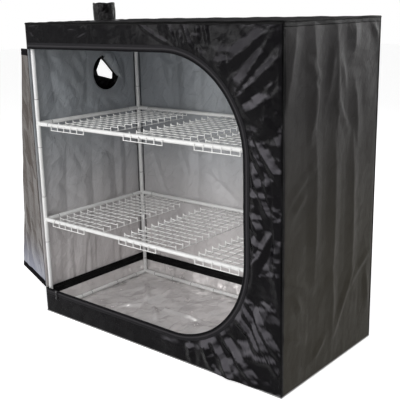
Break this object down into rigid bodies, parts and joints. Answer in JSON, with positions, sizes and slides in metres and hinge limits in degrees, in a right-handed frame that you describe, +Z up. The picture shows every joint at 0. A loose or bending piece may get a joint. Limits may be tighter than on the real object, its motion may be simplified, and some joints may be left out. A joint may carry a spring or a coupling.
{
  "type": "indoor grow tent",
  "caption": "Box-shaped cloth grow tent on a steel tube frame, with wire shelves on two levels, a zipped folding door and duct sleeves for ventilation.",
  "frame": {"origin": "centre of the tent's footprint, on the ground under the floor panel", "axes": "+Z up, +X to the right seen from the door side, the door side faces -Y"},
  "size_m": [1.5998, 0.6069, 1.2733],
  "materials": {
    "white_steel": "white powder coat, satin",
    "shelf_wire": "white coated steel wire, satin",
    "black_cloth": "black coated cloth with a sheen",
    "wall_cloth": "black coated cloth outside, silver foil lining inside",
    "silver_cloth": "crinkled silver foil laminated to cloth",
    "zip_tape": "black woven zip tape with coil teeth",
    "slider_metal": "black enamelled zip slider",
    "sleeve_cloth": "matt black light-tight cloth"
  },
  "bodies": {
    "tent": {"back_wall": "wall_cloth", "base_bar_back": "white_steel", "base_bar_front": "white_steel", "base_bar_left": "white_steel", "base_bar_right": "white_steel", "floor_panel": "black_cloth", "floor_tray": "silver_cloth", "front_panel": "black_cloth", "left_wall": "wall_cloth", "lower_post_back_left": "white_steel", "lower_post_back_right": "white_steel", "lower_post_front_left": "white_steel", "lower_post_front_right": "white_steel", "lower_shelf_bar_back": "white_steel", "lower_shelf_bar_front": "white_steel", "lower_shelf_bar_left": "white_steel", "lower_shelf_bar_right": "white_steel", "lower_shelf_tee_back_left": "white_steel", "lower_shelf_tee_back_right": "white_steel", "lower_shelf_tee_front_left": "white_steel", "lower_shelf_tee_front_right": "white_steel", "middle_post_back_left": "white_steel", "middle_post_back_right": "white_steel", "middle_post_front_left": "white_steel", "middle_post_front_right": "white_steel", "right_wall": "wall_cloth", "roof_duct_sleeve": "sleeve_cloth", "roof_panel": "black_cloth", "side_duct_sleeve": "sleeve_cloth", "top_bar_back": "white_steel", "top_bar_front": "white_steel", "top_bar_left": "white_steel", "top_bar_right": "white_steel", "upper_post_back_left": "white_steel", "upper_post_back_right": "white_steel", "upper_post_front_left": "white_steel", "upper_post_front_right": "white_steel", "upper_shelf_bar_back": "white_steel", "upper_shelf_bar_front": "white_steel", "upper_shelf_bar_left": "white_steel", "upper_shelf_bar_right": "white_steel", "upper_shelf_tee_back_left": "white_steel", "upper_shelf_tee_back_right": "white_steel", "upper_shelf_tee_front_left": "white_steel", "upper_shelf_tee_front_right": "white_steel", "zip_tape": "zip_tape"},
    "door_inner": {"door_inner": "silver_cloth"},
    "door_middle": {"door_middle": "silver_cloth"},
    "door_outer": {"door_outer": "silver_cloth"},
    "zip_slider": {"zip_slider": "slider_metal"},
    "roof_hanging_bar_left": {"roof_hanging_bar_left": "white_steel"},
    "roof_hanging_bar_right": {"roof_hanging_bar_right": "white_steel"},
    "lower_shelf_panel_left": {"lower_shelf_panel_left": "shelf_wire"},
    "lower_shelf_panel_middle": {"lower_shelf_panel_middle": "shelf_wire"},
    "lower_shelf_panel_right": {"lower_shelf_panel_right": "shelf_wire"},
    "upper_shelf_panel_left": {"upper_shelf_panel_left": "shelf_wire"},
    "upper_shelf_panel_middle": {"upper_shelf_panel_middle": "shelf_wire"},
    "upper_shelf_panel_right": {"upper_shelf_panel_right": "shelf_wire"}
  },
  "joints": [
    {"name": "door_swing", "type": "hinge", "parent": "tent", "child": "door_inner", "pos_m": [-0.6, -0.3, 0], "axis": [0, 0, 1], "range_deg": [0, 200.7]},
    {"name": "door_first_fold", "type": "hinge", "parent": "door_inner", "child": "door_middle", "pos_m": [-0.9087, -0.18335, 0.107], "axis": [0.228, -0.0861, 0.9699], "range_deg": [0, 54]},
    {"name": "door_second_fold", "type": "hinge", "parent": "door_middle", "child": "door_outer", "pos_m": [-0.99879, 0.10652, 0.07729], "axis": [0.1608, 0.15, 0.9755], "range_deg": [0, 165]},
    {"name": "zip_travel", "type": "slide", "parent": "tent", "child": "zip_slider", "axis": [1, 0, 0], "range_m": [0, 0.645]},
    {"name": "left_hanging_bar_slide", "type": "slide", "parent": "tent", "child": "roof_hanging_bar_left", "axis": [1, 0, 0], "range_m": [-0.35, 0.185]},
    {"name": "right_hanging_bar_slide", "type": "slide", "parent": "tent", "child": "roof_hanging_bar_right", "axis": [1, 0, 0], "range_m": [-0.185, 0.35]},
    {"name": "lower_shelf_panel_left_lift", "type": "slide", "parent": "tent", "child": "lower_shelf_panel_left", "axis": [0, 0, 1], "range_m": [0, 0.06]},
    {"name": "lower_shelf_panel_middle_lift", "type": "slide", "parent": "tent", "child": "lower_shelf_panel_middle", "axis": [0, 0, 1], "range_m": [0, 0.06]},
    {"name": "lower_shelf_panel_right_lift", "type": "slide", "parent": "tent", "child": "lower_shelf_panel_right", "axis": [0, 0, 1], "range_m": [0, 0.06]},
    {"name": "upper_shelf_panel_left_lift", "type": "slide", "parent": "tent", "child": "upper_shelf_panel_left", "axis": [0, 0, 1], "range_m": [0, 0.06]},
    {"name": "upper_shelf_panel_middle_lift", "type": "slide", "parent": "tent", "child": "upper_shelf_panel_middle", "axis": [0, 0, 1], "range_m": [0, 0.06]},
    {"name": "upper_shelf_panel_right_lift", "type": "slide", "parent": "tent", "child": "upper_shelf_panel_right", "axis": [0, 0, 1], "range_m": [0, 0.06]}
  ],
  "couplings": [
    {"joint": "door_first_fold", "follows": "door_swing", "ratio": 0.26906},
    {"joint": "door_second_fold", "follows": "door_swing", "ratio": 0.82212}
  ]
}
